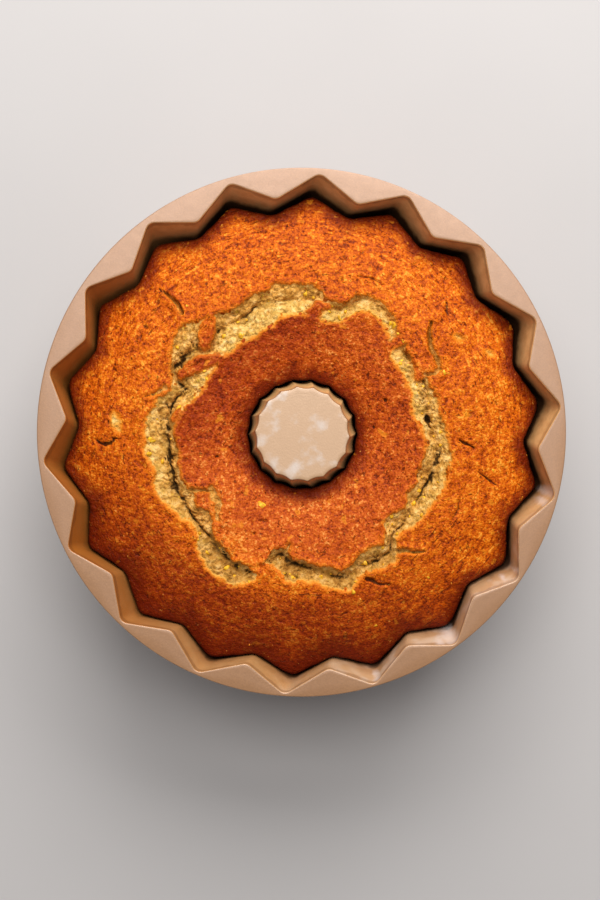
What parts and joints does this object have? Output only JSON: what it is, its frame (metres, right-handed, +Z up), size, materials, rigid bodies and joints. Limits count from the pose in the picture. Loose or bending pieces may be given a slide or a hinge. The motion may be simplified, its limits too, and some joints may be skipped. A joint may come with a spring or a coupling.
{
  "type": "bundt cake in its pan",
  "caption": "Ring-shaped pistachio cake baked in a round fluted tube pan: domed brown crust split round the crest, zigzag pan walls, a narrow rim and a closed centre tube",
  "frame": {"origin": "centre of the round rim, projected onto the surface that the pan's foot rests on", "axes": "+Z up out of the pan's mouth; +X and +Y lie in the resting plane, and the first outward corner of the zigzag wall is 3.9 degrees clockwise from +Y at the rim"},
  "size_m": [0.256, 0.256, 0.098],
  "materials": {
    "pan_coating": "satin metallic non-stick coating on cast aluminium",
    "cake_crust": "matte browned cake crust with green-gold crumb in the split"
  },
  "bodies": {
    "root": {"pan": "pan_coating", "cake": "cake_crust"}
  },
  "joints": []
}
